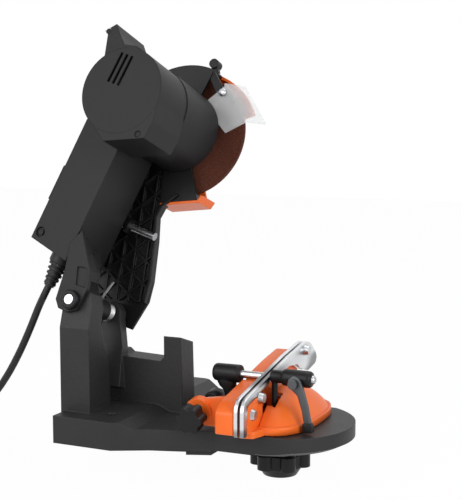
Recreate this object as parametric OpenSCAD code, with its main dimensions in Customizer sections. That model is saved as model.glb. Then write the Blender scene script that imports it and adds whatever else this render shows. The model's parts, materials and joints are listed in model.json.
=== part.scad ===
// Bench-mounted electric sharpener for saw chains: a grinding head on a tilted hinge over a swivelling vise.
// X points to the front, Y away from the switch side, Z up; the bench top is Z = 0.

/* [Base] */
// Height of the rear flange above the bench, mm
flange_height = 21.8; // [20:0.2:24]
// Height of the front bed that carries the vise, mm
bed_height = 16.5; // [15:0.1:16.5]
// Radius of the two bench bolt holes, mm
bench_hole_radius = 4.25; // [3:0.25:5.5]
// Distance between the two bench bolt holes, mm
bench_hole_spacing = 120; // [110:1:124]
// Height of the hinge axis above the bench in the centre plane, mm
hinge_height = 91.5; // [91:0.1:92]

/* [Grinding wheel] */
// Outside diameter of the grinding wheel, mm
wheel_diameter = 108; // [98:1:110]
// Thickness of the grinding wheel, mm
wheel_thickness = 3.2; // [3:0.1:3.6]
// Bore of the grinding wheel, mm
wheel_bore = 22.2; // [20:0.1:23]

/* [Head] */
// Radius of the hinge bolt, mm
hinge_bolt_radius = 4; // [3.5:0.1:4.2]
// Radius of the depth stop screw, mm
stop_screw_radius = 3.4; // [3:0.1:3.8]
// Radius of the motor casing, mm
motor_radius = 35; // [34:0.5:36]

/* [Vise] */
// Thickness of each jaw plate, mm
jaw_thickness = 3; // [2.4:0.1:3.2]
// Open slot between the jaw plates, mm
jaw_slot = 2; // [1.9:0.1:2.2]
// Radius of the vise swivel stud, mm
stud_radius = 5; // [4:0.1:5.2]
// Radius of the lock knob under the bed, mm
lock_knob_radius = 24; // [20:0.5:25]

/* [Cord] */
// Diameter of the supply cord, mm
cord_diameter = 6; // [6:0.1:6.2]

/* [Hidden] */

$fn = 40;
tilt = 18.2;                 // lean of the hinge and of the motor shaft
mid_y = 6;                   // centre plane of the base and the vise
run_fit = 0.08;              // radial clearance of turning fits
air = 0.5;                   // gap between bodies that pass each other
swivel_x = 151;
wheel_x = 37.7;
wheel_y = 20;
wheel_z = 159.6;
wheel_radius = wheel_diameter / 2;
guard_clearance = 6;         // from the wheel's edge to the guard's rim line
guard_radius = wheel_radius + guard_clearance;
guard_scale = guard_radius / 60;
shaft_radius = 5;
rail_lean = 10;
stop_angle = 107.5;
jaw_front = swivel_x + 2;
fixed_back = jaw_front - jaw_thickness;
moving_front = fixed_back - jaw_slot;
moving_back = moving_front - jaw_thickness;
clamp_y = -16;
clamp_z = 59;
stop_y = -18.5;
knob_x = 102;
knob_y = -60;
knob_z = 28;
lock_top = -9;
cord_radius = cord_diameter / 2;

// Placement helpers
module in_head() {
    translate([0, 0, hinge_height])
        rotate([-tilt, 0, 0])
            children();
}

// A cylinder along +Y from y0 to y1 through (x, z)
module along_y(x, z, y0, y1, r, r2 = -1) {
    translate([x, y0, z])
        rotate([-90, 0, 0])
            cylinder(h = y1 - y0, r1 = r, r2 = r2 < 0 ? r : r2);
}

// A cylinder along +X from x0 to x1 through (y, z)
module along_x(y, z, x0, x1, r, r2 = -1) {
    translate([x0, y, z])
        rotate([0, 90, 0])
            cylinder(h = x1 - x0, r1 = r, r2 = r2 < 0 ? r : r2);
}

// A plate in the X-Z plane from y0 to y1
module plate_y(y0, y1) {
    translate([0, y1, 0])
        rotate([90, 0, 0])
            linear_extrude(y1 - y0)
                children();
}

// A plate in the Y-Z plane from x0 to x1
module plate_x(x0, x1) {
    translate([x0, 0, 0])
        rotate([90, 0, 90])
            linear_extrude(x1 - x0)
                children();
}

// Rod between two points
module rod(a, b, r, r2 = -1) {
    d = b - a;
    translate(a)
        rotate([0, acos(d[2] / norm(d)), atan2(d[1], d[0])])
            cylinder(h = norm(d), r1 = r, r2 = r2 < 0 ? r : r2);
}

// Closed tube along a list of points, its rings carried along without twist
function unit(v) = v / norm(v);
function tangent(p, i) = unit(p[min(i + 1, len(p) - 1)] - p[max(i - 1, 0)]);
function carried(p, i, u) =
    i == 0 ? let (t = tangent(p, 0)) [unit(u - t * (u * t))] : let (last = carried(p, i - 1, u), q = last[i - 1], t = tangent(p, i)) concat(last, [unit(q - t * (q * t))]);
module tube(p, r, sides, u) {
    us = carried(p, len(p) - 1, u);
    n = len(p);
    polyhedron(
        points = [
            for (i = [0 : n - 1])
                let (t = tangent(p, i), a = us[i], b = cross(t, a))
                    for (k = [0 : sides - 1])
                        p[i] + r * (a * cos(360 * k / sides) + b * sin(360 * k / sides))
        ],
        faces = concat(
            [[for (k = [0 : sides - 1]) k]],
            [for (i = [0 : n - 2], k = [0 : sides - 1])
                [(i + 1) * sides + k, (i + 1) * sides + (k + 1) % sides, i * sides + (k + 1) % sides, i * sides + k]],
            [[for (k = [sides - 1 : -1 : 0]) (n - 1) * sides + k]]
        )
    );
}

// Base
module bed_disc(r, half) {
    intersection() {
        translate([swivel_x, mid_y])
            circle(r = r, $fn = 72);
        translate([swivel_x - 60, mid_y - half])
            square([120, 2 * half]);
    }
}

module base_outline() {
    polygon([
        [-6.5, -77], [45, -77.5], [72, -64], [97, -56], [119, -47], [150, -46],
        [150, 58], [119, 59], [97, 68], [72, 76], [45, 89.5], [-6.5, 89]
    ]);
    bed_disc(59, 52);
}

module near_ear_side() {
    polygon([
        [-9.6, -125], [16.9, -125], [16.9, -2], [13.8, 7.4], [8, 12], [0, 13.2], [-6, 9.5], [-9.6, 3]
    ]);
}

module near_ear_section() {
    polygon([
        [-60.4, 15], [-60.4, 88.6], [-48.4, 125], [-29.8, 125], [-41.6, 90], [-38, 76], [-32, 65], [-29, 40], [-29, 15]
    ]);
}

module base_casting() {
    color("#3c3c3e")
        difference() {
            union() {
                linear_extrude(flange_height)
                    base_outline();
                intersection() {
                    plate_x(-9.6, 16.9)
                        near_ear_section();
                    in_head()
                        plate_y(-70, 0)
                            near_ear_side();
                }
                // Web between the far ear and the tower
                plate_y(-10.8, 10.8)
                    polygon([
                        [-6.5, 15], [73.5, 15], [73, 30], [71.5, 88], [56.6, 88], [56.6, 61],
                        [53, 57.5], [18, 58.8], [14, 62], [-6.5, 62]
                    ]);
                in_head()
                    plate_y(-1, 9)
                        polygon([
                            [-8, -60], [20, -60], [17.5, -28], [11, -4], [10.4, 3], [7, 8], [0, 10.6], [-7, 8], [-9.4, 0]
                        ]);
                translate([0, 0, -3.5])
                    linear_extrude(6)
                        polygon([[97, -52], [115, -45], [115, 57], [97, 64]]);
            }
            // Slope down to the front bed
            plate_y(-100, 110)
                polygon([
                    [75, bed_height], [230, bed_height], [230, 40], [74, 40], [74, 17.2]
                ]);
            for (s = [0, 1])
                translate([0, s * 2 * mid_y, 0])
                    mirror([0, s, 0])
                        translate([0, -110.8, 0])
                            plate_y(0, 100)
                                polygon([[50, flange_height], [62, bed_height], [90, bed_height], [90, 40], [50, 40]]);
            // Tower top, square to the head
            in_head()
                translate([40, -40, -15.95])
                    cube([50, 80, 40]);
            // Hollow underside of the front bed
            translate([0, 0, -1])
                linear_extrude(bed_height - 5.5)
                    difference() {
                        intersection() {
                            bed_disc(52, 45);
                            translate([119, -80])
                                square([100, 170]);
                        }
                        translate([swivel_x, mid_y])
                            circle(r = 14);
                        translate([swivel_x - 80, mid_y - 2])
                            square([140, 4]);
                    }
            // Front of the bed reaches past the bench's edge and clears its plane
            translate([115, -80, -1])
                cube([110, 170, 2]);
            // Undercut front rim
            translate([swivel_x, mid_y, -1])
                difference() {
                    translate([0, -80, 0])
                        cube([90, 160, 7.2]);
                    cylinder(h = 7.2, r1 = 46, r2 = 59.5, $fn = 72);
                }
            // Swivel bore
            translate([swivel_x, mid_y, -6])
                cylinder(h = 40, r = stud_radius + run_fit);
            // Bench bolt holes
            for (s = [-1, 1])
                translate([33, mid_y + s * bench_hole_spacing / 2, -2])
                    cylinder(h = 40, r = bench_hole_radius);
            // Hinge bore through both ears
            in_head()
                along_y(0, 0, -70, 20, hinge_bolt_radius);
        }
}

module hinge_bolt() {
    color("#b9bcc0")
        in_head() {
            along_y(0, 0, -61.4 - 0.1, 14.2, hinge_bolt_radius);
            along_y(0, 0, -65.4, -61.4, 6.4, 5.9);
        }
}

module hinge_nut() {
    color("#b9bcc0")
        in_head()
            difference() {
                along_y(0, 0, 15.4, 20, 7);
                along_y(0, 0, 14, 17, hinge_bolt_radius);
            }
}

// Spring round the hinge: wire turns with one leg up to the head and one down to the web
spring_start = -32;
spring_steps = 32;
spring_pitch = 2.1;
spring_radius = 7;
wire_radius = 1;
function spring_point(a) = [
    -spring_radius * cos(a), -12 + spring_pitch * (a - spring_start) / 360, -spring_radius * sin(a)
];
module torsion_spring() {
    leg = [sin(-spring_start), 0, cos(spring_start)];
    last = spring_point(1440);
    color("#c4c7ca")
        in_head()
            tube(
                concat(
                    [spring_point(spring_start) + 24 * leg, spring_point(spring_start) + 5 * leg],
                    [for (i = [0 : spring_steps]) spring_point(spring_start + i * 46)],
                    [last + [0, 0, -6], last + [0, 1.3, -16]]
                ),
                wire_radius,
                6,
                [0, 1, 0]
            );
}

module lock_washer() {
    color("#b9bcc0")
        translate([swivel_x, mid_y, -3])
            difference() {
                cylinder(h = 2.6, r = 11);
                translate([0, 0, -1])
                    cylinder(h = 5, r = stud_radius + 0.4);
            }
}

// Head
module arm_near_shell() {
    color("#434446")
        in_head()
            difference() {
                union() {
                    // Box of the arm
                    plate_y(-60, -5)
                        polygon([
                            [-47.6, 48.8], [-12, 31], [-5.9, 48.2], [17.5, 114.5], [24, 132.9], [6, 155],
                            [-4.2, 155], [-12.6, 148.5]
                        ]);
                    // Near cheek over the ear, then the fork's root behind it
                    plate_y(-60.9, -57)
                        polygon([
                            [-9.5, 46], [-10.5, 24], [-14.6, 0], [-11, -7], [-3, -9.6], [5, -7.5],
                            [8.8, 0], [12.6, 10], [12.8, 24], [7, 38], [0, 56]
                        ]);
                    plate_y(-57.2, -48)
                        polygon([
                            [-9.5, 46], [-10.2, 26], [-4, 18.6], [6, 18.2], [11.4, 16.4], [12.2, 24], [6, 38], [-1, 52]
                        ]);
                    plate_y(-48.2, -38)
                        polygon([
                            [-10, 42], [-10.2, 26], [-4, 18.6], [6, 18.2], [8.6, 17.4], [9, 26], [2, 40], [-4, 46]
                        ]);
                    along_y(0, 0, -61, -57, 8);
                    // Bearing tube between the ears
                    along_y(0, 0, -38.3, -13.4, 9);
                    plate_y(-38.3, -20)
                        polygon([
                            [-9, 0], [-12, 24], [-15, 34], [-10, 46], [-5, 46], [-2, 36], [-3.2, 20], [1, 8.6], [9, 0]
                        ]);
                }
                plate_y(-57, -4)
                    polygon([
                        [-43, 51], [-16, 37.8], [-9.3, 49], [14.3, 115.5], [20.6, 132], [4, 150], [-4, 150],
                        [-9, 145.5]
                    ]);
                // Round-topped recess in the cheek
                plate_y(-62, -59.3)
                    polygon([
                        [0.6, 27], [7.6, 26.6], [10.2, 25], [11.2, 22], [10.4, 10.5], [1.6, 12.5]
                    ]);
                along_y(0, 0, -62, 0, hinge_bolt_radius + run_fit);
                // Seats of the motor casing, its end cover and the cord gland
                along_y(wheel_x, wheel_z, -70, 0, motor_radius + 0.05);
                translate([wheel_x, 0, wheel_z])
                    plate_y(-70, -51.9)
                        cover_side(0.2);
                translate([-27, -40, 40])
                    rotate([0, 200, 0])
                        translate([0, 0, -8])
                            cylinder(h = 30, r = 9.25);
                // Switch opening
                translate([-31.2, -41, 95])
                    rotate([0, 19.5, 0])
                        cube([14, 18.4, 30.4], center = true);
                // Corner screw recess and shallow step
                along_y(-39.5, 53.5, -61, -58, 4.2);
            }
}

module arm_far_shell() {
    color("#2b2b2d")
        in_head()
            difference() {
                union() {
                    // Wall that meets the near shell's open back
                    plate_y(-4.9, 12.5)
                        difference() {
                            polygon([
                                [-46, 50.5], [-30, 42.5], [2, 131], [2, 150], [-4, 153], [-11, 146]
                            ]);
                            polygon([
                                [-42, 52.5], [-32, 47.5], [-1.5, 131], [-1, 147], [-3.5, 148.5], [-8, 144]
                            ]);
                        }
                    // Sheet with its free edge folded towards the wheel's side
                    plate_y(12.4, 15)
                        sheet_outline();
                    plate_y(7.4, 12.5)
                        polygon([
                            [24.6, 16], [27.2, 11], [30, 30], [29, 64], [27, 85], [31, 94], [44, 104], [42, 106],
                            [28.6, 95.5], [24.6, 85.4], [26.6, 64], [27.6, 30]
                        ]);
                    // Diamond ribs on the sheet
                    intersection() {
                        plate_y(9.9, 12.5)
                            polygon([
                                [-20, 14], [8, 12], [26, 12], [28, 30], [27, 64], [26, 85],
                                [29, 94], [43, 105], [40, 122], [3, 136], [-27, 46]
                            ]);
                        union() {
                            for (x = [-14.6, -3, 8.6, 20.2])
                                translate([x, 8, -20])
                                    cube([1.8, 6, 190]);
                            for (i = [-2 : 8])
                                for (a = [-38, 38])
                                    translate([8.6, 11, i * 19])
                                        rotate([0, a, 0])
                                            cube([150, 4, 1.8], center = true);
                        }
                    }
                    along_y(0, 0, 9.8, 13, 8.5);
                }
                along_y(0, 0, 0, 20, hinge_bolt_radius + run_fit);
                // Slot for the depth stop bush
                stop_line(-31, -23, 6.45);
                plate_y(9, 12.4)
                    stop_plate();
                // Seats of the motor casing and of the wheel guard
                along_y(wheel_x, wheel_z, -30, 20, motor_radius + 0.05);
                translate([wheel_x, 0, wheel_z])
                    plate_y(9.3, 40)
                        guard_side(guard_radius + 0.4, 0.4);
            }
}

module sheet_outline() {
    polygon([
        [-24, 38], [-21, 8], [-12, -8], [0, -10], [8, -9], [16, -11], [28, 13], [30, 30],
        [29, 64], [27, 85], [31, 94], [49, 108], [49, 121], [-4, 153], [-11, 146], [-46, 50.5]
    ]);
}

// Depth stop line in the head frame, s measured from the screw's free end
module stop_line(s0, s1, r, y = 3.5) {
    translate([29.8, y, 66.9])
        rotate([0, stop_angle, 0])
            translate([0, 0, s0])
                cylinder(h = s1 - s0, r = r);
}

module stop_plate() {
    polygon([[-4, 70], [9.5, 66.5], [11.5, 80], [-1.5, 83.5]]);
}

module stop_screw_bush() {
    color("#2b2b2d")
        in_head()
            difference() {
                union() {
                    stop_line(-28.6, -24, 6.4);
                    plate_y(9.9, 12.35)
                        stop_plate();
                }
                stop_line(-32, -22, stop_screw_radius + run_fit);
            }
}

module depth_stop_screw() {
    color("#c8cacc")
        in_head()
            stop_line(-40.9, 0.4, stop_screw_radius);
}

module depth_stop_knob() {
    color("#262628")
        in_head()
            difference() {
                union() {
                    stop_line(-42.3, -38.4, 4.9);
                    for (a = [0 : 45 : 315])
                        translate([29.8, 3.5, 66.9])
                            rotate([0, stop_angle, 0])
                                rotate([0, 0, a])
                                    translate([4.4, 0, -42])
                                        cylinder(h = 3.2, r = 1, $fn = 16);
                }
                stop_line(-41, -34, stop_screw_radius);
            }
}

module cover_side(m = 0) {
    circle(r = motor_radius - 0.6 + m, $fn = 72);
    polygon([
        [-19.4 - m, 28], [-19.5 - m, 48.7], [-22.6 - m, 48.8], [-12.8, 54.2 + 2 * m], [-8.6 + m, 46],
        [-3, 37 + m], [8.1, 35.5 + m], [20, 28 + m], [0, 0]
    ]);
    polygon([
        [34.2 + m, 0], [32 + m, -25], [26.3 + m, -38 - m], [-8.9 - m, -40.6 - m], [-20 - m, -28 - m], [0, 0]
    ]);
}

module cover_hollow() {
    circle(r = motor_radius - 3.6, $fn = 72);
    polygon([[-16.4, 28], [-16.5, 46], [-13.4, 49], [-10.6, 42], [-4, 33], [0, 0]]);
    polygon([[31.2, 0], [29, -24], [24.4, -35], [-7.6, -37.4], [-17, -26], [0, 0]]);
}

module motor_end_cover() {
    color("#4a4b4d")
        in_head()
            difference() {
                union() {
                    translate([wheel_x, 0, wheel_z])
                        plate_y(-97, -52)
                            cover_side();
                }
                translate([wheel_x, 0, wheel_z])
                    plate_y(-94, -51)
                        cover_hollow();
                // Vents
                for (i = [0 : 2])
                    translate([29.4 + 4.6 * i, -96, 178.4 - 1.6 * i])
                        rotate([0, 21, 0])
                            cube([2.4, 8, 25], center = true);
                along_y(18.2, 208.3, -98, -94.6, 2.6);
                along_y(57.9, 124.7, -98, -94.6, 2.6);
            }
}

module cover_screws() {
    color("#9a9da1")
        in_head() {
            along_y(18.2, 208.3, -96.4, -95, 2.3);
            along_y(57.9, 124.7, -96.4, -95, 2.3);
            along_y(-39.5, 53.5, -59.6, -58, 2.4);
        }
}

module motor_casing() {
    color("#3a3b3d")
        in_head()
            difference() {
                along_y(wheel_x, wheel_z, -51.5, 8, motor_radius);
                along_y(wheel_x, wheel_z, -48, 5, motor_radius - 3);
                along_y(wheel_x, wheel_z, -60, -40, 26);
                along_y(wheel_x, wheel_z, 0, 12, 11);
                // Opening for the leads down into the arm
                translate([14, -44, 118])
                    cube([16, 12, 20]);
            }
}

module motor_stator() {
    color("#7c7f83")
        in_head()
            difference() {
                along_y(wheel_x, wheel_z, -40, -8, motor_radius - 3);
                along_y(wheel_x, wheel_z, -41, -7, 20);
            }
}

module carbon_brushes() {
    color("#2a2a2c")
        in_head()
            for (s = [-1, 1])
                translate([wheel_x + s * 17.6, -67, wheel_z])
                    cube([11, 7, 6], center = true);
}

module shaft_bearings() {
    color("#a8abb0")
        in_head() {
            difference() {
                along_y(wheel_x, wheel_z, -92.5, -86, 9);
                along_y(wheel_x, wheel_z, -93, -85, shaft_radius + run_fit);
            }
            difference() {
                along_y(wheel_x, wheel_z, 0.4, 7.6, 11);
                along_y(wheel_x, wheel_z, -1, 9, shaft_radius + run_fit);
            }
        }
}

module armature() {
    color("#8b6b3f")
        in_head() {
            along_y(wheel_x, wheel_z, -91, 30, shaft_radius);
            along_y(wheel_x, wheel_z, -40, -8, 18);
            along_y(wheel_x, wheel_z, -74, -60, 11.6);
            along_y(wheel_x, wheel_z, -60, -40, 9);
        }
}

module cooling_fan() {
    color("#d0cdc4")
        in_head()
            difference() {
                union() {
                    along_y(wheel_x, wheel_z, -5.4, -3.4, 24);
                    along_y(wheel_x, wheel_z, -7, -2.4, 8);
                    for (a = [0 : 40 : 320])
                        translate([wheel_x, 0, wheel_z])
                            rotate([0, a, 0])
                                translate([8, -7.4, -0.7])
                                    cube([15, 3, 1.4]);
                }
                along_y(wheel_x, wheel_z, -9, 0, shaft_radius);
            }
}

module wheel_flanges() {
    color("#b4b7bb")
        in_head()
            difference() {
                union() {
                    along_y(wheel_x, wheel_z, 13.2, wheel_y - wheel_thickness / 2, 15);
                    along_y(wheel_x, wheel_z, wheel_y + wheel_thickness / 2, 24, 15);
                    along_y(wheel_x, wheel_z, 13.2, 24, wheel_bore / 2 - 0.02);
                }
                along_y(wheel_x, wheel_z, 10, 30, shaft_radius);
            }
}

module grinding_wheel() {
    color("#6e3b2c")
        in_head()
            difference() {
                along_y(wheel_x, wheel_z, wheel_y - wheel_thickness / 2, wheel_y + wheel_thickness / 2, wheel_radius);
                along_y(wheel_x, wheel_z, 10, 30, wheel_bore / 2);
            }
}

module arbor_nut() {
    color("#b9bcc0")
        in_head()
            difference() {
                along_y(wheel_x, wheel_z, 24, 29, 8.5);
                along_y(wheel_x, wheel_z, 23, 31, shaft_radius);
            }
}

// Sector of a disc in the X-Z plane between two angles from the top, growing to the rear
module rear_sector(a0, a1, r) {
    polygon(concat([[0, 0]], [for (i = [0 : 24]) let(a = a0 + (a1 - a0) * i / 24) [r * sin(a), r * cos(a)]]));
}

module guard_side(r, m = 0) {
    k = r / 60;
    rear_sector(22, -112, r);
    polygon([
        [0, 0], [-r, -10 * k], [-55.6 * k - m, -22.5 * k - m], [-12.7 * k - m, -34.6 * k],
        [-10.7 * k - m, -62.1 * k - 6 * m], [23.3 * k + 6 * m, -58.6 * k - 6 * m],
        [14.3 * k + m, -32.6 * k], [16 * k + m, -8 * k]
    ]);
}

module wheel_guard() {
    color("#29292b")
        in_head()
            translate([wheel_x, 0, wheel_z])
                difference() {
                    union() {
                        plate_y(9.6, 12.4)
                            guard_side(guard_radius);
                        plate_y(12, 27)
                            difference() {
                                guard_side(guard_radius);
                                circle(r = guard_radius - 2.6);
                                polygon([for (p = [[-8, -50], [-8, -59.4], [20.6, -56.4], [17, -45]]) p * guard_scale]);
                            }
                        along_y(0, 0, 8, 10, 14);
                    }
                    along_y(0, 0, 0, 30, 10.9);
                }
}

module guard_cover() {
    color("#f0662a")
        in_head()
            translate([wheel_x, 0, wheel_z])
                union() {
                    plate_y(31, 33.4)
                        difference() {
                            union() {
                                rear_sector(68, -112, guard_radius);
                                circle(r = 26);
                                polygon([
                                    for (p = [[-60, -10], [-12.7, -34.6], [-10.7, -62.1], [23.3, -58.6], [14.3, -32.6], [16, -8]])
                                        p * guard_scale
                                ]);
                            }
                            circle(r = 12);
                        }
                    plate_y(27.05, 31.5)
                        difference() {
                            rear_sector(68, -112, guard_radius);
                            circle(r = guard_radius - 2.6);
                        }
                    // Coloured lower lip
                    plate_y(9.6, 33.4)
                        polygon([
                            for (p = [[-10.7, -62.2], [23.4, -58.7], [26.4, -54.4], [28.8, -55], [25.6, -60.6], [-10.6, -64.3]])
                                p * guard_scale
                        ]);
                }
}

// A point beside the guard, carried outwards with the guard's rim
function by_guard(p) = [wheel_x + (p[0] - wheel_x) * guard_scale, wheel_z + (p[1] - wheel_z) * guard_scale];

module guard_knob() {
    color("#232325")
        in_head() {
            translate([wheel_x + 18.3 * guard_scale, 0, wheel_z + 63.4 * guard_scale])
                plate_y(15, 24)
                    circle(r = 4.2);
            translate([wheel_x, 0, wheel_z])
                plate_y(17, 22)
                    polygon([for (p = [[15.4, 58.4], [22.7, 56], [21, 62], [17, 63.4]]) p * guard_scale]);
        }
}

// Clear shield beside the wheel: a flat sheet and a pane that flares outwards from the fold
module chip_shield() {
    flare = [[1, 0.336, 0, -0.336 * 8.1], [0, 1, 0, 0], [0, 0.234, 1, -0.234 * 8.1], [0, 0, 0, 1]];
    color("#dfe6ea")
        in_head()
            difference() {
                union() {
                    plate_y(8.1, 9.5)
                        polygon([for (p = [[55, 184], [73, 200], [96, 168], [79, 159]]) by_guard(p)]);
                    multmatrix(flare)
                        plate_y(8.1, 31)
                            polygon([for (p = [[72, 201.4], [96, 168], [97.2, 168.9], [73.2, 202.3]]) by_guard(p)]);
                }
                along_y(by_guard([72, 194])[0], by_guard([72, 194])[1], 0, 9.6, 1.6);
            }
}

module shield_bracket() {
    color("#b9bcc0")
        in_head()
            union() {
                along_y(by_guard([72, 194])[0], by_guard([72, 194])[1], 5.9, 8.1, 3.4);
                along_y(by_guard([72, 194])[0], by_guard([72, 194])[1], 8, 10, 1.6);
                plate_y(9.6, 12.2)
                    polygon([for (p = [[57.4, 206.9], [60.6, 214], [71.4, 198], [68, 189]]) by_guard(p)]);
            }
}

module strain_relief() {
    color("#232325")
        in_head()
            translate([-27, -40, 40])
                rotate([0, 180 + 20, 0]) {
                    cylinder(h = 9, r = 9.2);
                    for (i = [0 : 4])
                        translate([0, 0, 9 + i * 4])
                            cylinder(h = 2.6, r1 = 8.2 - i * 0.75, r2 = 7.8 - i * 0.75);
                    translate([0, 0, 9])
                        cylinder(h = 20, r1 = 6.6, r2 = 4.3);
                }
}

module switch_frame() {
    color("#232325")
        in_head()
            translate([-31.2, -41, 95])
                rotate([0, 19.5, 0])
                    difference() {
                        translate([-3.4, 0, 0])
                            cube([10, 18.2, 30.2], center = true);
                        translate([-6, 0, 0])
                            cube([12, 14.2, 24.2], center = true);
                        translate([-2.6, 0, 0])
                            rotate([90, 0, 0])
                                cylinder(h = 30, r = 1.5 + run_fit, center = true);
                    }
}

module switch_rocker() {
    color("#b3261e")
        in_head()
            translate([-31.2, -41, 95])
                rotate([0, 19.5, 0])
                    translate([-2.6, 0, 0])
                        rotate([90, 0, 0]) {
                            cylinder(h = 18, r = 1.5, center = true);
                            translate([0, 0, -6.4])
                                linear_extrude(12.8)
                                    polygon([[1.8, 0], [-1, -9], [-7.6, -10.4], [-5.4, 0], [-4.6, 10.4], [-1, 9]]);
                        }
}

// Vise
module rail_side() {
    polygon([
        [-70, 20], [-70, 40], [-68.5, 44], [-65, 47.5], [-60, 49], [19.5, 64.4], [57, 69.8],
        [66, 67.6], [73, 62.6], [80, 56.5], [82, 52], [79, 47.6], [60, 43]
    ]);
}

module vise_table() {
    color("#ee6a24")
        difference() {
            union() {
                translate([0, 0, 16.9])
                    linear_extrude(6.1)
                        polygon([
                            [129.5, -44], [142, -46], [162, -46], [174, -40], [181, -22], [184, -2], [184, 20],
                            [179, 40], [170, 52], [158, 58], [142, 58], [129.5, 50]
                        ]);
                // Backing of the jaws
                plate_x(129.5, moving_back - air)
                    polygon([
                        [-69.4, 21], [-69.4, 38], [-60, 44], [19, 59.5], [50, 64], [60, 58], [58, 17], [-46, 17]
                    ]);
                // Dome in front of the jaws
                intersection() {
                    translate([swivel_x + 1, mid_y + 6, 22])
                        scale([1, 1.35, 1])
                            sphere(r = 30, $fn = 40);
                    translate([jaw_front, -40, 22])
                        cube([60, 100, 40]);
                }
            }
            // Window for the chain stop bar
            translate([120, stop_y - 12, 21.5])
                cube([80, 24, 8.5]);
            translate([jaw_front, stop_y - 12, 21.5])
                cube([60, 24, 40]);
            // Room for the screw head beside the dome
            along_x(4.4, 36, jaw_front - 1, 190, 5.2);
            // Notch and bore for the clamp screw
            along_x(clamp_y, clamp_z - 4, 120, 150, 5.3);
            translate([120, clamp_y - 5.3, clamp_z - 4])
                cube([24.6, 10.6, 20]);
            // Stud bore
            translate([swivel_x, mid_y, 10])
                cylinder(h = 60, r = stud_radius);
            translate([fixed_back - 30, -100, 0])
                translate([30 - jaw_slot - jaw_thickness - air, 0, 23])
                    cube([jaw_slot + 2 * jaw_thickness + air + 0.0, 200, 60]);
        }
}

module swivel_stud() {
    color("#a8abb0")
        translate([swivel_x, mid_y, 0]) {
            translate([0, 0, -24])
                cylinder(h = 44, r = stud_radius);
        }
}

module fixed_jaw() {
    color("#d3d5d8")
        difference() {
            plate_x(fixed_back, jaw_front)
                rail_side();
            for (p = [[-54, 34.3], [4.4, 36]])
                along_x(p[0], p[1], 140, 160, 2.5);
            for (p = [[-40, 39], [54, 58]])
                along_x(p[0], p[1] + 5, 140, 160, 2);
        }
}

module jaw_screws() {
    color("#b9bcc0")
        for (p = [[-54, 34.3], [4.4, 36]]) {
            along_x(p[0], p[1], jaw_front - 2.9, jaw_front, 2.5);
            along_x(p[0], p[1], jaw_front, jaw_front + 3, 4.6, 3.4);
        }
}

module guide_pins() {
    color("#b9bcc0")
        for (p = [[-40, 44], [54, 63]]) {
            along_x(p[0], p[1], moving_back - air, jaw_front + 0.2, 2);
            along_x(p[0], p[1], jaw_front, jaw_front + 4, 4.4, 3.6);
        }
}

module moving_jaw() {
    color("#dcdee0")
        difference() {
            plate_x(moving_back, moving_front)
                rail_side();
            for (p = [[-40, 44], [54, 63]])
                along_x(p[0], p[1], 140, 160, 2 + run_fit);
            along_x(-54, 34.3, 140, 160, 6);
            along_x(clamp_y, clamp_z - 4, moving_back - 1, moving_back + 1.8, 3 + run_fit);
        }
}

module clamp_screw() {
    color("#c8cacc")
        union() {
            along_x(clamp_y, clamp_z - 4, 124, moving_back + 1.6, 3);
        }
}

module clamp_lever() {
    color("#262628")
        difference() {
            union() {
                along_x(clamp_y, clamp_z - 4, 106, 127.2, 5.8, 6.2);
                along_x(clamp_y, clamp_z - 4, 104.5, 106, 4.4, 5.8);
                rod([115, clamp_y, clamp_z - 6], [118.2, clamp_y - 0.6, 36], 5.2, 3);
                translate([118.2, clamp_y - 0.6, 35.6])
                    sphere(r = 3.4, $fn = 24);
            }
            along_x(clamp_y, clamp_z - 4, 124, 130, 3);
        }
}

module adjuster_bracket() {
    color("#ee6a24")
        difference() {
            union() {
                translate([knob_x + 4, 0, 0])
                    translate([0, -49, knob_z + 2])
                        rotate([rail_lean - 90, 0, 0])
                            cylinder(h = 7, r = 11);
                plate_y(-47.5, -42)
                    polygon([[106, 20], [106, 40], [129.5, 44], [129.5, 20]]);
            }
            adjust_line(-20, 60, 4 + run_fit);
        }
}

// Line of the adjusting screw, from the knob towards the carriage
module adjust_line(s0, s1, r, r2 = -1) {
    translate([knob_x + 4, knob_y, knob_z])
        rotate([rail_lean - 90, 0, 0])
            translate([0, 0, s0])
                cylinder(h = s1 - s0, r1 = r, r2 = r2 < 0 ? r : r2);
}

module adjusting_knob() {
    color("#262628")
        difference() {
            union() {
                adjust_line(-6, 5, 8.6);
                for (a = [0 : 60 : 300])
                    translate([knob_x + 4, knob_y, knob_z])
                        rotate([rail_lean - 90, 0, 0])
                            rotate([0, 0, a])
                                translate([7.6, 0, -6])
                                    cylinder(h = 11, r = 3.2, $fn = 20);
                adjust_line(5, 9.6, 6.5, 5.2);
            }
            adjust_line(-3, 12, 4);
        }
}

module adjusting_screw() {
    color("#c8cacc")
        adjust_line(-3, 44, 4);
}

module stop_carriage() {
    color("#242426")
        difference() {
            union() {
                translate([99.5, stop_y, 25.2])
                    rotate([rail_lean, 0, 0])
                        translate([0, -5, -1.5])
                            cube([57, 10, 3]);
                // Nut block on the adjusting screw
                adjust_line(34, 46, 6.5);
                translate([99.5, stop_y - 4.6, 24.6])
                    cube([13, 9.2, 9]);
                // Riser and stop block
                translate([jaw_front + air + 0.1, stop_y - 4.8, 24.6])
                    cube([5, 9.6, 30]);
                translate([jaw_front + air + 0.1, stop_y - 6.5, 47])
                    cube([10, 13, 10]);
                translate([163, stop_y - 6.5, 50])
                    cube([24, 13, 13]);
            }
            adjust_line(30, 60, 4 + run_fit);
            translate([176, stop_y, 54.6])
                rotate([90, 0, 0])
                    cylinder(h = 30, r = 2);
        }
}

module pawl_pin() {
    color("#b9bcc0")
        union() {
            along_y(176, 54.6, stop_y - 13, stop_y - 2, 2);
            along_y(176, 54.6, stop_y - 14.6, stop_y - 12, 3.6);
        }
}

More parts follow.
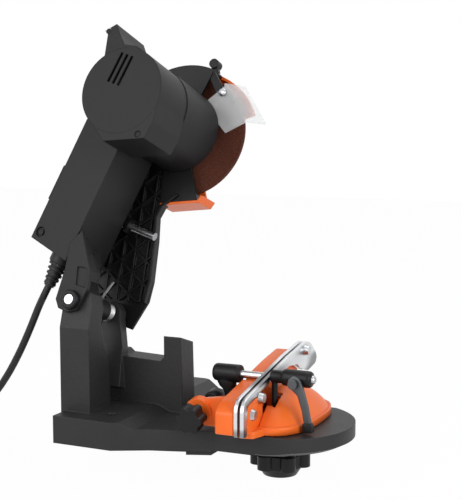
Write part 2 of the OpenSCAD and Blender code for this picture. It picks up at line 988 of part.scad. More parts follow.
module chain_pawl() {
    color("#8f9296")
        difference() {
            translate([176, 0, 54.6])
                rotate([0, -17, 0])
                    plate_y(stop_y - 10.4, stop_y - 7.4)
                        polygon([[-4.5, 5], [4.5, 5], [5, -18], [3, -29], [-1, -30], [-5, -20]]);
            along_y(176, 54.6, stop_y - 12, stop_y - 6, 2 + run_fit);
        }
}

module lock_knob() {
    lobe = 6.5;
    color("#222224")
        difference() {
            union() {
                translate([swivel_x, mid_y, -27])
                    cylinder(h = 7, r1 = 13.5, r2 = 18);
                translate([swivel_x, mid_y, -20])
                    cylinder(h = 10.4, r = 18.6);
                for (a = [0 : 60 : 300])
                    translate([swivel_x, mid_y, -20])
                        rotate([0, 0, a + 12])
                            translate([lock_knob_radius - lobe, 0, 0])
                                cylinder(h = 11, r = lobe);
                translate([swivel_x, mid_y, -10])
                    cylinder(h = 6.5, r = 10);
            }
            translate([swivel_x, mid_y, -24.4])
                cylinder(h = 40, r = stud_radius + run_fit);
        }
}

// Cord: route points in order from the strain relief to the coil
relief_axis = [-sin(20), 0, -cos(20)];
function head_point(p) = [
    p[0],
    p[1] * cos(tilt) + p[2] * sin(tilt),
    hinge_height - p[1] * sin(tilt) + p[2] * cos(tilt)
];
relief_tip = head_point([-27, -40, 40] + relief_axis * 29.02);
relief_dir = head_point(relief_axis) - head_point([0, 0, 0]);
coil_x = -138;
coil_y = -84;
coil_turns = 6.25;
coil_pitch = 6.6;
coil_inner = 24;
coil_lift = 7;
coil_outer = coil_inner + 3 * coil_pitch;
lay = cord_radius + 0.1;         // height of the lying cord's centre line
tail = 30;

cord_points = [
    relief_tip,
    relief_tip + relief_dir * 9,
    [-47, -34, 98],
    [-56, -35, 78],
    [-66, -36, 58],
    [-78, -37, 38],
    [-92, -38.5, 20],
    [-109, -39.6, 7.6],
    [coil_x + 12, coil_y + coil_outer, lay],
    [coil_x + 6, coil_y + coil_outer, lay]
];

// Smooth point on the route
function route(i, t) =
    let (
        p = cord_points,
        n = len(p) - 1,
        a = p[max(i - 1, 0)],
        b = p[i],
        c = p[min(i + 1, n)],
        d = p[min(i + 2, n)]
    )
    0.5 * (2 * b + (c - a) * t + (2 * a - 5 * b + 4 * c - d) * t * t + (3 * b - a - 3 * c + d) * t * t * t);

module cord_tube() {
    color("#1b1b1c")
        tube(
            concat(
                [relief_tip, relief_tip + relief_dir * 5],
                [
                    for (i = [1 : len(cord_points) - 3], j = [0 : 1])
                        route(i, j / 2)
                ],
                [cord_points[len(cord_points) - 2], cord_points[len(cord_points) - 1] + [0.02, 0, 0]]
            ),
            cord_radius,
            10,
            [0, 1, 0]
        );
}

// The unseen length lies in a flat coil of two layers: inwards below, outwards on top
function coil_rise(u) = u < 2.45 ? 0 : u > 3.25 ? 1 : let (q = (u - 2.45) / 0.8) q * q * (3 - 2 * q);
function coil_point(u) =
    let (r = coil_inner + coil_pitch * abs(min(u, 6) - 3), a = 90 + 360 * u)
    [coil_x + r * cos(a), coil_y + r * sin(a), lay + coil_lift * coil_rise(u)];
coil_end = [coil_x - coil_outer, coil_y, lay + coil_lift];
coil_path = concat(
    [[coil_x + 6, coil_y + coil_outer, lay], [coil_x + 1.5, coil_y + coil_outer, lay]],
    [for (i = [1 : 24 * coil_turns]) coil_point(i / 24)],
    [coil_end - [0, 8, 0], coil_end - [0, tail / 2 + 4, 0], coil_end - [0, tail, 0]]
);
coil_gap = min([
    for (i = [0 : len(coil_path) - 1], j = [i + 12 : 1 : len(coil_path) - 1])
        norm(coil_path[i] - coil_path[j])
]) - cord_diameter;
echo(coil_gap_to_itself = coil_gap, spring_gap_to_itself = spring_pitch - 2 * wire_radius);

module cord_coil() {
    color("#1b1b1c")
        tube(coil_path, cord_radius, 6, [0, 1, 0]);
}

// A round piece on the plug's axis, along -Y from the end of the coil's tail
module on_plug(s0, s1, r1, r2, dx = 0) {
    translate(coil_end - [-dx, tail + s0, 0])
        rotate([90, 0, 0])
            cylinder(h = s1 - s0, r1 = r1, r2 = r2);
}

module plug_body() {
    color("#1f1f20")
        union() {
            on_plug(0, 16, 4.4, 7);
            on_plug(16, 36, 7, 9.6);
            on_plug(36, 40, 9.6, 9.2);
        }
}

module plug_pins() {
    color("#c8cacc")
        for (s = [-1, 1])
            on_plug(40, 59, 2, 2, s * 5);
}

base_casting();
hinge_bolt();
hinge_nut();
torsion_spring();
lock_washer();
arm_near_shell();
arm_far_shell();
motor_casing();
motor_end_cover();
cover_screws();
motor_stator();
carbon_brushes();
shaft_bearings();
wheel_guard();
guard_cover();
guard_knob();
chip_shield();
shield_bracket();
stop_screw_bush();
strain_relief();
switch_frame();
switch_rocker();
armature();
cooling_fan();
wheel_flanges();
grinding_wheel();
arbor_nut();
depth_stop_screw();
depth_stop_knob();
vise_table();
swivel_stud();
fixed_jaw();
jaw_screws();
guide_pins();
adjuster_bracket();
moving_jaw();
clamp_screw();
clamp_lever();
stop_carriage();
adjusting_knob();
adjusting_screw();
chain_pawl();
pawl_pin();
lock_knob();
cord_tube();
cord_coil();
plug_body();
plug_pins();
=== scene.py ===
"""Looks of a bench-mounted electric sharpener for saw chains, laid out as a Blender add-on.

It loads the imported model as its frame, dresses the CAD nodes with procedural materials, adds the
computed surfaces that the CAD keeps plain, and sets the stage, lights and camera. Outlines, profiles
and rows of points are in millimetres, finished meshes in metres.
"""

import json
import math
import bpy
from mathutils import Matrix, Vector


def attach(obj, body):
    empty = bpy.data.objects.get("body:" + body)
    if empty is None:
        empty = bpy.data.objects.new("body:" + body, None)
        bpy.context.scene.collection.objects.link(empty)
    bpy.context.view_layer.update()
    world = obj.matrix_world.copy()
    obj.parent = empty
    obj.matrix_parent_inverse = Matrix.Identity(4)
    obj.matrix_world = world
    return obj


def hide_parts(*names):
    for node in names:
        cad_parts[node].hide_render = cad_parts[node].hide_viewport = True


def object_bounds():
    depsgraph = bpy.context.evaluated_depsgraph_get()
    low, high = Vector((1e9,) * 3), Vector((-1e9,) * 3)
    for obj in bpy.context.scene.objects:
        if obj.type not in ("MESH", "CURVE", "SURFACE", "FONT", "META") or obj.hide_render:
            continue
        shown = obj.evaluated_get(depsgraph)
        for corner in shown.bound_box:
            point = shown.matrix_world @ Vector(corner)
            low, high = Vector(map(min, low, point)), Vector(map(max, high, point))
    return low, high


bl_info = {
    "name": "Chain Sharpener Looks",
    "version": (1, 0, 0),
    "blender": (4, 5, 0),
    "location": "View3D > Sidebar > Sharpener",
    "description": "Dresses the packed chain sharpener and sets its stage",
    "category": "Object",
}

import bpy
import numpy as np
from mathutils import Vector

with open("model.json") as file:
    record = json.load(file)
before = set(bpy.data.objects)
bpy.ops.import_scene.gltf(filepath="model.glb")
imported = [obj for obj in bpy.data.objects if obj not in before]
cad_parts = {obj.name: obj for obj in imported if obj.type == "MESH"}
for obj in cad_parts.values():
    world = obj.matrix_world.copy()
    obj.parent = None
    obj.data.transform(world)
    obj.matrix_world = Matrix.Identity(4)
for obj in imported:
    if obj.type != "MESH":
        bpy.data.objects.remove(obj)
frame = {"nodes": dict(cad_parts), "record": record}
cad_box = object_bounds()

# The record's slot of every node, and the two nodes that look darker than theirs.
SLOTS = {part["node"]: part["material_slot"] for part in frame["record"]["subparts"]}
DARKER = {"cover_screws": "carbon", "pawl_pin": "pawl_steel"}
BASE, HEAD, VISE = "base", "head", "vise"

PER_METRE = 1000.0
# Lean of the head and height of its hinge.
TILT = math.radians(18.2)
HINGE_Z = 91.5
ALONG_X, ALONG_Y, ALONG_Z = (1, 0, 0), (0, 1, 0), (0, 0, 1)
# Radius of the small ring that closes a turned shape.
POLE = 0.02
BEVEL_SAMPLES = 6


# ---------------------------------------------------------------- shader maths

class Sock:
    """A node socket whose operators add Math nodes, so that a pattern reads as a sum."""

    def __init__(self, nodes, out):
        self.nodes, self.out = nodes, out

    def _math(self, operation, *terms):
        made = self.nodes.add("ShaderNodeMath", dict(enumerate(terms)), operation=operation)
        return Sock(self.nodes, made.outputs[0])

    def __add__(self, other):
        return self._math("ADD", self, other)

    __radd__ = __add__

    def __sub__(self, other):
        return self._math("SUBTRACT", self, other)

    def __rsub__(self, other):
        return self._math("SUBTRACT", other, self)

    def __mul__(self, other):
        return self._math("MULTIPLY", self, other)

    __rmul__ = __mul__

    def sin(self):
        return self._math("SINE", self)

    def clamp(self):
        """Held between 0 and 1."""
        return self._math("MINIMUM", self._math("MAXIMUM", self, 0.0), 1.0)

    def smooth(self, low, high):
        """Smoothstep from low to high."""
        sockets = {"Value": self, "From Min": low, "From Max": high}
        made = self.nodes.add("ShaderNodeMapRange", sockets, interpolation_type="SMOOTHSTEP")
        return Sock(self.nodes, made.outputs[0])


class Nodes:
    """The node tree of a material or a world."""

    def __init__(self, tree):
        self.tree = tree

    def add(self, kind, sockets=None, **settings):
        """A new node of that type: its settings first, then the values or links of its sockets."""
        made = self.tree.nodes.new(kind)
        for key, value in settings.items():
            setattr(made, key, value)
        for key, value in (sockets or {}).items():
            self.plug(value, made.inputs[key])
        return made

    def plug(self, value, socket):
        """Link the value to the socket where it is a socket itself, and write it there otherwise."""
        if isinstance(value, Sock):
            value = value.out
        if isinstance(value, bpy.types.NodeSocket):
            self.tree.links.new(value, socket)
        else:
            socket.default_value = value

    def own(self, kind):
        """The node of that type that the tree starts with."""
        return next(n for n in self.tree.nodes if n.type == kind)

    def seen(self):
        """1 for rays of the camera, of reflections and through clear sheet, 0 for light on the object."""
        rays = self.add("ShaderNodeLightPath").outputs
        kinds = ("Camera", "Glossy", "Transmission")
        camera, glossy, through = (Sock(self, rays[f"Is {kind} Ray"]) for kind in kinds)
        return (camera + glossy + through).clamp()


class Mat(Nodes):
    """A principled material whose patterns are written as sums and products of sockets."""

    def __init__(self, name, color, rough, **fixed):
        self.m = bpy.data.materials.new(name)
        self.m.use_nodes = True
        super().__init__(self.m.node_tree)
        self.shader = self.own("BSDF_PRINCIPLED")
        self.give("Base Color", (*color, 1))
        self.give("Roughness", rough)
        for key, value in fixed.items():
            self.give(key.replace("_", " "), value)
        self.coords = self.add("ShaderNodeTexCoord").outputs["Object"]

    def give(self, name, value):
        """Set or link an input of the principled shader."""
        self.plug(value, self.shader.inputs[name])

    def xyz(self):
        """Object coordinates in millimetres."""
        node = self.add("ShaderNodeSeparateXYZ", {0: self.coords})
        return [Sock(self, out) * PER_METRE for out in node.outputs]

    def noise(self, scale, detail=3.0, rough=0.55, vector=None):
        """Clouds between 0 and 1, that many of them in a metre."""
        vector = self.coords if vector is None else vector
        sockets = {"Vector": vector, "Scale": scale, "Detail": detail, "Roughness": rough}
        return Sock(self, self.add("ShaderNodeTexNoise", sockets).outputs[0])

    def cells(self, scale):
        """Distance to the nearest of scattered points, that many of them in a metre."""
        sockets = {"Vector": self.coords, "Scale": scale}
        return Sock(self, self.add("ShaderNodeTexVoronoi", sockets, feature="F1").outputs["Distance"])

    def stretched(self, scale, turn):
        """Object coordinates scaled along each axis after a turn."""
        sockets = {"Vector": self.coords, "Rotation": turn, "Scale": scale}
        return self.add("ShaderNodeMapping", sockets).outputs[0]

    def mix(self, factor, a, b):
        """Colour a where factor is 0 and b where it is 1."""
        a, b = ((*v, 1) if isinstance(v, tuple) else v for v in (a, b))
        return self.add("ShaderNodeMix", {"Factor": factor, 6: a, 7: b}, data_type="RGBA").outputs[2]

    def bump(self, height, distance, soft=0.0):
        """Relief from a height; soft rounds the edges of the mesh by that radius in metres."""
        sockets = {"Strength": 1.0, "Distance": distance, "Height": height}
        if soft:
            bevel = self.add("ShaderNodeBevel", {"Radius": soft}, samples=BEVEL_SAMPLES)
            sockets["Normal"] = bevel.outputs[0]
        self.give("Normal", self.add("ShaderNodeBump", sockets).outputs[0])

    def seen_white(self, share):
        """Lay that share of plain white over the surface for the camera, so its shadows stay soft."""
        glow = self.add("ShaderNodeEmission").outputs[0]
        blend = self.add("ShaderNodeMixShader", {0: self.seen() * share, 1: self.shader.outputs[0], 2: glow})
        self.plug(blend.outputs[0], self.own("OUTPUT_MATERIAL").inputs["Surface"])


# ---------------------------------------------------------------- finishes

def plastic(name, color, light, rough, grain=1400.0):
    """Moulded plastic: fine spark texture, soft blotches and a little dust in the low tones."""
    dust, depth, edge = 0.25, 0.00005, 0.0011
    mat = Mat(name, color, rough, Specular_IOR_Level=0.22)
    blotch = mat.noise(14.0, 4.0)
    fine = mat.noise(grain, 2.0)
    mat.give("Base Color", mat.mix((blotch.smooth(0.35, 0.75) * dust + fine * 0.06).clamp(), color, light))
    mat.give("Roughness", (blotch * 0.14 + fine * 0.1 + (rough - 0.12)).clamp())
    mat.bump(fine + mat.cells(grain * 0.5) * 0.5, depth, edge)
    return mat.m


def cast_paint():
    """Thick black coat on a casting: orange peel with pits and worn edges."""
    color, worn = (0.021, 0.021, 0.0215), (0.032, 0.032, 0.033)
    depth, edge = 0.0001, 0.0014
    mat = Mat("cast_base_coat", color, 0.5, Specular_IOR_Level=0.26)
    peel = mat.noise(420.0, 3.0)
    wide = mat.noise(22.0, 4.0)
    mat.give("Base Color", mat.mix((wide.smooth(0.4, 0.8) * 0.4).clamp(), color, worn))
    mat.give("Roughness", (wide * 0.18 + peel * 0.12 + 0.34).clamp())
    mat.bump(peel + mat.cells(260.0) * 0.6, depth, edge)
    return mat.m


def orange_enamel(name, rough):
    """Saturated orange with a faint peel and paler sweeps."""
    color, pale = (0.88, 0.145, 0.018), (0.96, 0.2, 0.032)
    depth, edge = 0.00004, 0.001
    mat = Mat(name, color, rough, Specular_IOR_Level=0.3)
    wide = mat.noise(18.0, 3.0)
    fine = mat.noise(600.0, 2.0)
    mat.give("Base Color", mat.mix(wide.smooth(0.35, 0.8) * 0.4, color, pale))
    mat.give("Roughness", (wide * 0.14 + fine * 0.05 + (rough - 0.08)).clamp())
    mat.bump(fine, depth, edge)
    return mat.m


def plated(name, color, rough, scratch=0.1, turn=(0, 0, 0), stretch=(30, 900, 900), painted_reflection=0.0):
    """Plated or brushed metal: long fine scratches and cloudy roughness.

    With painted_reflection, dark sweeps of painted reflection run across its colour, as dark surroundings
    would in a mirror.
    """
    depth, edge = 0.00002, 0.0004
    mat = Mat(name, color, rough, Metallic=1.0)
    lines = mat.noise(1.0, 2.0, 0.5, mat.stretched(stretch, turn))
    cloud = mat.noise(45.0, 3.0)
    tone = mat.mix(cloud.smooth(0.3, 0.8) * 0.35, color, tuple(c * 0.72 for c in color))
    if painted_reflection:
        # Painted reflection: stretched noise darkens the colour in long bands, standing in for dark
        # surroundings mirrored in the metal.
        sweep = mat.noise(1.0, 1.0, 0.4, mat.stretched((6, 16, 60), turn))
        tone = mat.mix(sweep.smooth(0.42, 0.6) * painted_reflection, tone, tuple(c * 0.16 for c in color))
    mat.give("Base Color", tone)
    mat.give("Roughness", (lines * scratch + cloud * 0.12 + (rough - 0.08)).clamp())
    mat.bump(lines, depth, edge)
    return mat.m


def abrasive():
    """Resin bonded grit: dense grains of several tones over a rough skin."""
    base, light, dark = (0.085, 0.024, 0.014), (0.20, 0.075, 0.048), (0.025, 0.009, 0.007)
    mat = Mat("abrasive_grit", base, 0.88, Specular_IOR_Level=0.15)
    grain = mat.cells(1500.0)
    specks = mat.noise(2400.0, 1.0)
    wide = mat.noise(30.0, 3.0)
    tone = mat.mix(specks.smooth(0.56, 0.7), base, light)
    tone = mat.mix(grain.smooth(0.5, 0.9) * 0.6, tone, dark)
    mat.give("Base Color", mat.mix(wide.smooth(0.3, 0.9) * 0.25, tone, light))
    mat.give("Roughness", (specks * 0.2 + 0.74).clamp())
    mat.bump(grain + specks, 0.00025)
    return mat.m


def rubber_sheath():
    """Soft black sheath with a faint bloom."""
    color, bloom = (0.014, 0.014, 0.015), (0.04, 0.04, 0.042)
    mat = Mat("cord_sheath", color, 0.48, Specular_IOR_Level=0.3)
    wide = mat.noise(40.0, 4.0)
    fine = mat.noise(1800.0, 2.0)
    mat.give("Base Color", mat.mix(wide.smooth(0.4, 0.8) * 0.5, color, bloom))
    mat.give("Roughness", (wide * 0.2 + fine * 0.08 + 0.34).clamp())
    mat.bump(fine, 0.00003)
    return mat.m


def clear_sheet():
    """Clear moulded sheet with milky clouds and light scuffs, told through Alpha."""
    milk = 0.30
    mat = Mat("clear_shield", (0.86, 0.89, 0.90), 0.12, IOR=1.49)
    scuff = mat.noise(1.0, 4.0, 0.6, mat.stretched((60, 40, 90), (0.4, 0.3, 0.2)))
    cloud = mat.noise(60.0, 2.0)
    mat.give("Roughness", (scuff * 0.25 + 0.05).clamp())
    mat.give("Alpha", (cloud * 0.1 + scuff.smooth(0.55, 0.85) * 0.12 + milk).clamp())
    mat.bump(cloud, 0.00001)
    return mat.m


def windings():
    """Copper coils wound round the teeth of the stator, seen through the vents."""
    copper, gap = (0.42, 0.17, 0.07), (0.16, 0.07, 0.035)
    mat = Mat("winding_copper", copper, 0.4, Metallic=0.8)
    x, _, z = mat.xyz()
    turns = ((x + z * 0.4) * 2.1).sin() * 0.5 + 0.5
    mat.give("Base Color", mat.mix(turns, copper, gap))
    mat.give("Roughness", turns * 0.2 + 0.32)
    mat.bump(turns, 0.0002)
    return mat.m


MATERIALS = {}


def make_materials():
    """Every material once, by the record's slot name."""
    MATERIALS.update(
        cast_base=cast_paint(),
        charcoal_plastic=plastic("charcoal_case", (0.0125, 0.0126, 0.013), (0.02, 0.0202, 0.021), 0.5),
        black_plastic=plastic("black_case", (0.0065, 0.0065, 0.007), (0.014, 0.014, 0.0145), 0.4, 1100.0),
        orange_plastic=orange_enamel("orange_cover", 0.3),
        orange_paint=orange_enamel("orange_enamel", 0.34),
        # The bright zinc and the brushed jaws carry painted reflection: dark sweeps laid into their colour.
        zinc=plated("bright_zinc", (0.62, 0.63, 0.65), 0.26, painted_reflection=0.5),
        spring_steel=plated("bare_steel", (0.5, 0.5, 0.51), 0.34),
        jaw_plate=plated(
            "brushed_jaw", (0.74, 0.75, 0.77), 0.24, scratch=0.2,
            turn=(math.radians(10), 0, 0), stretch=(900, 18, 900), painted_reflection=0.85,
        ),
        pawl_steel=plated("pawl_plate", (0.10, 0.105, 0.11), 0.42),
        steel_core=windings(),
        carbon=plastic("brush_carbon", (0.012, 0.012, 0.012), (0.05, 0.05, 0.05), 0.6),
        clear_plastic=clear_sheet(),
        cord_rubber=rubber_sheath(),
        switch_red=plastic("switch_rocker_red", (0.45, 0.018, 0.014), (0.6, 0.04, 0.03), 0.3),
        fan_plastic=plastic("fan_natural", (0.55, 0.53, 0.47), (0.66, 0.64, 0.58), 0.5),
        abrasive=abrasive(),
        plug_metal=plated("plug_pin_plate", (0.75, 0.75, 0.74), 0.3),
    )


# ---------------------------------------------------------------- surfaces

def row_point(p):
    """Row frame, from millimetres to metres."""
    return p / PER_METRE


def head_point(p):
    """Head frame (mm) to row frame (m): y' and z' turned by the lean about X, then raised to the hinge."""
    p = np.asarray(p, float)
    c, s = math.cos(TILT), math.sin(TILT)
    out = np.empty_like(p)
    out[..., 0] = p[..., 0]
    out[..., 1] = p[..., 1] * c + p[..., 2] * s
    out[..., 2] = HINGE_Z - p[..., 1] * s + p[..., 2] * c
    return out / PER_METRE


def linked(name, points, faces):
    """An object at the origin with that mesh, in the scene."""
    mesh = bpy.data.meshes.new(name)
    mesh.from_pydata(points, [], faces)
    mesh.update()
    obj = bpy.data.objects.new(name, mesh)
    bpy.context.scene.collection.objects.link(obj)
    return obj


def smooth(obj, crease=40):
    """Smooth shading with creases above that angle in degrees."""
    obj.data.shade_smooth()
    obj.data.set_sharp_from_angle(angle=math.radians(crease))
    return obj


def dress(obj, slot, body, *nodes):
    """Material, body and the CAD nodes that the piece stands for."""
    obj.data.materials.append(MATERIALS[slot])
    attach(obj, body)
    if nodes:
        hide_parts(*nodes)


def quads_of(n, m, loop=False):
    """Corners of the quads between n rings of m points each; in a loop the last ring joins the first."""
    i = np.arange(n if loop else n - 1)[:, None]
    j = np.arange(m)[None]
    after, beside = (i + 1) % n, (j + 1) % m
    return np.stack([v.ravel() for v in (i * m + j, i * m + beside, after * m + beside, after * m + j)], 1)


def tube_mesh(name, rings):
    """A capped tube from rings of points P(i, j): quads between neighbours and a face on each end."""
    n, m = rings.shape[:2]
    faces = quads_of(n, m).tolist()
    faces.append(list(range(m))[::-1])
    faces.append([(n - 1) * m + k for k in range(m)])
    obj = linked(name, rings.reshape(-1, 3).tolist(), faces)
    obj.data.validate()
    return obj


def spline(points, per):
    """Catmull-Rom curve through the points, in that many steps between neighbours b and c:

    C(t) = (2b + (c - a) t + (2a - 5b + 4c - d) t^2 + (3b - a - 3c + d) t^3) / 2.
    """
    p = np.vstack([points[:1], points, points[-1:]]).astype(float)
    t = (np.arange(per) / per)[:, None]
    rows = []
    for k in range(1, len(p) - 2):
        a, b, c, d = p[k - 1 : k + 3]
        square, cube = 2 * a - 5 * b + 4 * c - d, 3 * b - a - 3 * c + d
        rows.append(0.5 * (2 * b + (c - a) * t + square * t**2 + cube * t**3))
    rows.append(p[-1:])
    return np.vstack(rows)


def swept(name, path, radius, sides):
    """Tube S(i, k) = C(i) + r (N cos a + B sin a), its normal N carried along the path without twist."""
    path = np.asarray(path, float)
    tan = np.gradient(path, axis=0)
    tan /= np.linalg.norm(tan, axis=1)[:, None]
    normal = np.zeros_like(path)
    start = np.array([0.0, 1.0, 0.0]) if abs(tan[0, 1]) < 0.9 else np.array([1.0, 0.0, 0.0])
    for k in range(len(path)):
        start = start - tan[k] * start.dot(tan[k])
        start /= np.linalg.norm(start)
        normal[k] = start
    side = np.cross(tan, normal)
    a = (2 * math.pi * np.arange(sides) / sides)[None, :, None]
    round_path = normal[:, None] * np.cos(a) + side[:, None] * np.sin(a)
    return tube_mesh(name, path[:, None] + radius * round_path)


def ringed(name, *grids):
    """One mesh from several closed grids, each turned outward by the sign of its volume sum(a . b x c) / 6.

    A grid whose last row repeats its first is a loop and gets no caps.
    """
    def volume(a, b, c):
        return np.einsum("ij,ij->i", a, np.cross(b, c)).sum()

    points, faces, base = [], [], 0
    for grid in grids:
        loop = np.allclose(grid[0], grid[-1])
        grid = np.asarray(grid, float)[: -1 if loop else None]
        n, m = grid.shape[:2]
        flat = grid.reshape(-1, 3)
        quads = quads_of(n, m, loop)
        mid = flat - flat.mean(0)
        q = mid[quads]
        size = volume(q[:, 0], q[:, 1], q[:, 2]) + volume(q[:, 0], q[:, 2], q[:, 3])
        if not loop:
            first, last = mid[:m], mid[(n - 1) * m :]
            size += volume(first.mean(0)[None], np.roll(first, -1, 0), first)
            size += volume(last.mean(0)[None], last, np.roll(last, -1, 0))
        way = 1 if size > 0 else -1
        faces += (base + quads[:, ::way]).tolist()
        if not loop:
            ring = base + np.arange(m)
            faces += [ring[::-way].tolist(), ((n - 1) * m + ring[::way]).tolist()]
        points.append(flat)
        base += n * m
    return linked(name, np.vstack(points).tolist(), faces)


def add_piece(name, grids, crease, slot, body, *nodes, place=row_point):
    """A dressed piece from closed grids in millimetres."""
    dress(smooth(ringed(name, *(place(g) for g in grids)), crease), slot, body, *nodes)


def turned(profile, origin, axis, around=40):
    """Surface of revolution P(s, a) = O + s A + r(s) (U cos a + V sin a) from rows of (s, r)."""
    sr = np.asarray(profile, float)
    axis = np.asarray(axis, float) / np.linalg.norm(axis)
    u = np.cross(axis, [0.0, 0.0, 1.0] if abs(axis[2]) < 0.9 else [1.0, 0.0, 0.0])
    u /= np.linalg.norm(u)
    v = np.cross(axis, u)
    a = 2 * math.pi * np.arange(around) / around
    ring = u * np.cos(a)[:, None] + v * np.sin(a)[:, None]
    return np.asarray(origin, float) + sr[:, :1, None] * axis + sr[:, 1:, None] * ring[None]


def rounded(outline, radius, per=5):
    """Each corner c becomes the arc (1-t)^2 A + 2 t (1-t) c + t^2 B, with A and B that far along its sides."""
    c = np.asarray(outline, float)
    before, after = np.roll(c, 1, 0) - c, np.roll(c, -1, 0) - c
    la, lb = np.linalg.norm(before, axis=1), np.linalg.norm(after, axis=1)
    r = np.minimum(np.broadcast_to(radius, la.shape), 0.45 * np.minimum(la, lb))
    start, end = c + before * (r / la)[:, None], c + after * (r / lb)[:, None]
    t = np.linspace(0, 1, per)[None, :, None]
    arcs = (1 - t) ** 2 * start[:, None] + 2 * t * (1 - t) * c[:, None] + t**2 * end[:, None]
    return arcs.reshape(-1, 2)


def on_x(flat, level):
    """Outline in (y, z), thickness along x."""
    return np.stack([level, flat[..., 0], flat[..., 1]], -1)


def on_y(flat, level):
    """Outline in (x, z), thickness along y."""
    return np.stack([flat[..., 0], level, flat[..., 1]], -1)


def on_z(flat, level):
    """Outline in (x, y), thickness along z."""
    return np.stack([flat[..., 0], flat[..., 1], level], -1)


def slab(outline, low, high, edge, place):
    """Flat piece with eased rims: drawn in by e (1 - sin q) where its height has gone e (1 - cos q)."""
    c = np.asarray(outline, float)
    along = np.roll(c, -1, 0) - np.roll(c, 1, 0)
    area = (c[:, 0] * np.roll(c[:, 1], -1) - np.roll(c[:, 0], -1) * c[:, 1]).sum()
    inward = np.stack([-along[:, 1], along[:, 0]], 1) * np.sign(area)
    inward /= np.maximum(np.linalg.norm(inward, axis=1), 1e-9)[:, None]
    q = np.linspace(0, math.pi / 2, 4)
    draw, rise = edge * (1 - np.sin(q)), edge * (1 - np.cos(q))
    draw = np.concatenate([draw, draw[::-1]])
    level = np.concatenate([low + rise, high - rise[::-1]])
    flat = c[None] + draw[:, None, None] * inward[None]
    return place(flat, np.broadcast_to(level[:, None], flat.shape[:2]))


def stacked(rows, around=40, power=2.4):
    """Grip from rows (z, cx, cy, a, b): superellipse sections |x/a|^p + |y/b|^p = 1 stacked in height."""
    rows = np.asarray(rows, float)
    q = 2 * math.pi * np.arange(around) / around
    ex, ey = (np.sign(w) * np.abs(w) ** (2 / power) for w in (np.cos(q), np.sin(q)))
    x = rows[:, 1:2] + rows[:, 3:4] * ex
    y = rows[:, 2:3] + rows[:, 4:5] * ey
    return np.stack([x, y, np.broadcast_to(rows[:, :1], x.shape)], -1)


# ---------------------------------------------------------------- settings

# Gap in metres between the floor and the lowest point of the tool.
FLOOR_GAP = 0.0002


class SharpenerSettings(bpy.types.PropertyGroup):
    """Sizes and colours of the dressed pieces and of the stage."""

    cord_diameter: bpy.props.FloatProperty(
        name="Cord diameter", description="Thickness of the supply cord's round sheath",
        default=0.006, min=0.005, max=0.007, unit="LENGTH",
    )
    floor_height: bpy.props.FloatProperty(
        name="Floor height", description="Level of the floor, just under the lowest point of the tool",
        default=cad_box[0][2] - FLOOR_GAP, unit="LENGTH",
    )
    floor_color: bpy.props.FloatVectorProperty(
        name="Floor", description="Colour of the pale floor under the tool",
        subtype="COLOR", default=(0.9, 0.9, 0.9), min=0, max=1,
    )
    light_power: bpy.props.FloatProperty(
        name="Key light", description="Power of the broad light in front of the tool",
        default=18.5, min=0, max=500, unit="POWER",
    )
    fill_power: bpy.props.FloatProperty(
        name="Fill light",
        description="Power of the light on the right; the top light has about a third of it",
        default=21.0, min=0, max=500, unit="POWER",
    )
    sky_level: bpy.props.FloatProperty(
        name="Sky level", description="How strongly the white surroundings light the tool",
        default=0.3, min=0, max=2, subtype="FACTOR",
    )


# ---------------------------------------------------------------- the CAD nodes

class SHARPENER_OT_nodes(bpy.types.Operator):
    """Give every CAD node the material of its slot, and a darker one to two small ones"""

    bl_idname = "sharpener.nodes"
    bl_label = "Dress CAD nodes"

    def execute(self, context):
        for node, slot in {**SLOTS, **DARKER}.items():
            for spot in frame["nodes"][node].material_slots:
                spot.material = MATERIALS[slot]
        return {"FINISHED"}


# ---------------------------------------------------------------- cord, gland and spring

# The gland in the head frame: its lean, its root on the arm and its lengths.
GLAND_LEAN = math.radians(20)
GLAND_ROOT = np.array([-27.0, -40.0, 40.0])
GLAND_AXIS = np.array([-math.sin(GLAND_LEAN), 0, -math.cos(GLAND_LEAN)])
GLAND_LENGTH, COLLAR_LENGTH, RIB_PITCH, RIB_SHARE = 29, 9, 4, 0.66

CORD_STEPS = 4
CORD_SIDES = 14
CORD_DROP = np.array([
    [-47, -34, 98], [-56, -35, 78], [-66, -36, 58], [-78, -37, 38], [-92, -38.5, 20],
    [-109, -39.6, 7.6], [-126, -40.2, 3.1], [-132, -40.2, 3.1],
])

# The wire's radius in metres, its sides, and the angle in degrees at which its turns end.
SPRING_WIRE, SPRING_SIDES = 0.00098, 12
SPRING_END = 1440.0


def coil_line(per=24):
    """Two-layer flat coil: r = r0 + p |min(u, 6) - 3|, z lifted by a smoothstep at the middle turn."""
    cx, cy, inner, pitch, lay, lift = -138.0, -84.0, 24.0, 6.6, 3.1, 7.0
    outer = inner + 3 * pitch
    u = np.arange(1, int(per * 6.25) + 1) / per
    r = inner + pitch * np.abs(np.minimum(u, 6) - 3)
    q = np.clip((u - 2.45) / 0.8, 0, 1)
    z = lay + lift * q * q * (3 - 2 * q)
    a = math.pi / 2 + 2 * math.pi * u
    turns = np.stack([cx + r * np.cos(a), cy + r * np.sin(a), z], 1)
    end = np.array([cx - outer, cy, lay + lift])
    tail = np.array([end - [0, s, 0] for s in (8, 15, 22, 30)])
    return np.vstack([[[cx + 6, cy + outer, lay], [cx + 1.5, cy + outer, lay]], turns, tail])


def cord_line():
    """The cord's centre line in metres: out of the gland's end, down, and through the coil."""
    reach = np.array([29.0, 33.0, 38.0])
    lead = head_point(GLAND_ROOT + reach[:, None] * GLAND_AXIS) * PER_METRE
    free = spline(np.vstack([lead[-1:], CORD_DROP]), CORD_STEPS)
    return np.vstack([lead[:-1], free[:-1], coil_line()]) / PER_METRE


